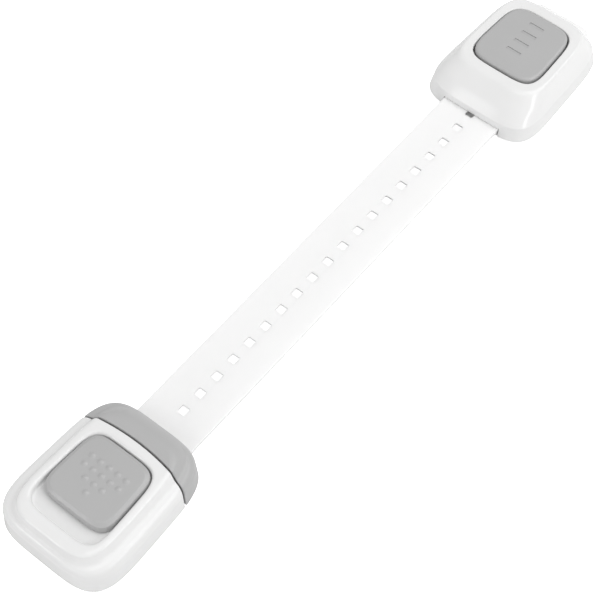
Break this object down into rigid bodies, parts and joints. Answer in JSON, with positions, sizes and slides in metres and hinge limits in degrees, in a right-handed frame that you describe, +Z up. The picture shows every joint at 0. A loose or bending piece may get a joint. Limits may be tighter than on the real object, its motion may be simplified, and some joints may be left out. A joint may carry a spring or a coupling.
{
  "type": "refrigerator safety strap lock",
  "caption": "Flat holed strap joining a rounded latch unit with a slide button and pull-out plug to a rounded adjuster unit with a push button, holding a refrigerator door shut.",
  "frame": {"origin": "centre of the whole lock's box in plan, at the height of the surface that the pads stick to", "axes": "+X along the strap from the latch unit to the adjuster unit, +Y across the strap, +Z up from the surface"},
  "size_m": [0.2398, 0.0388, 0.0135],
  "materials": {
    "white_shell": "gloss",
    "grey_control": "satin",
    "white_strap": "satin",
    "inner_plastic": "satin",
    "foam_pad": "matt",
    "steel": "bright"
  },
  "bodies": {
    "latch": {"latch_housing": "white_shell", "latch_base": "white_shell", "latch_adhesive_pad": "foam_pad", "catch_clip": "inner_plastic", "latch_return_spring": "steel", "latch_screw_1": "steel", "latch_screw_2": "steel"},
    "release": {"slide_button": "grey_control", "latch_slider": "inner_plastic", "slider_screw": "steel"},
    "strap_and_plug": {"strap": "white_strap", "plug_cover": "grey_control", "plug_body": "grey_control"},
    "adjuster": {"adjuster_housing": "white_shell", "adjuster_base": "white_shell", "adjuster_adhesive_pad": "foam_pad", "adjuster_chassis": "inner_plastic", "pawl_pivot_pin": "steel", "push_spring_1": "steel", "push_spring_2": "steel", "adjuster_screw_1": "steel", "adjuster_screw_2": "steel"},
    "push": {"push_button": "grey_control"},
    "pawl": {"rocker_pawl": "inner_plastic"}
  },
  "joints": [
    {"name": "release_slide", "type": "slide", "parent": "latch", "child": "release", "axis": [-1, 0, 0], "range_m": [0, 0.0042], "stiffness_N_per_m": 300, "springref_m": -0.004, "deforming": ["latch_return_spring", "catch_clip"]},
    {"name": "plug_slide", "type": "slide", "parent": "latch", "child": "strap_and_plug", "axis": [1, 0, 0], "range_m": [0, 0.03], "deforming": ["catch_clip"]},
    {"name": "adjuster_slide", "type": "slide", "parent": "strap_and_plug", "child": "adjuster", "axis": [1, 0, 0], "range_m": [-0.105, 0.021]},
    {"name": "push_press", "type": "slide", "parent": "adjuster", "child": "push", "axis": [0, 0, -1], "range_m": [0, 0.0016], "stiffness_N_per_m": 1200, "springref_m": -0.0015, "deforming": ["push_spring_1", "push_spring_2"]},
    {"name": "pawl_pivot", "type": "hinge", "parent": "adjuster", "child": "pawl", "pos_m": [0.09663, 0, 0.0071], "axis": [0, 1, 0], "range_deg": [0, 14.2]}
  ],
  "couplings": [
    {"joint": "pawl_pivot", "follows": "push_press", "rad_per_m": 153.85}
  ]
}
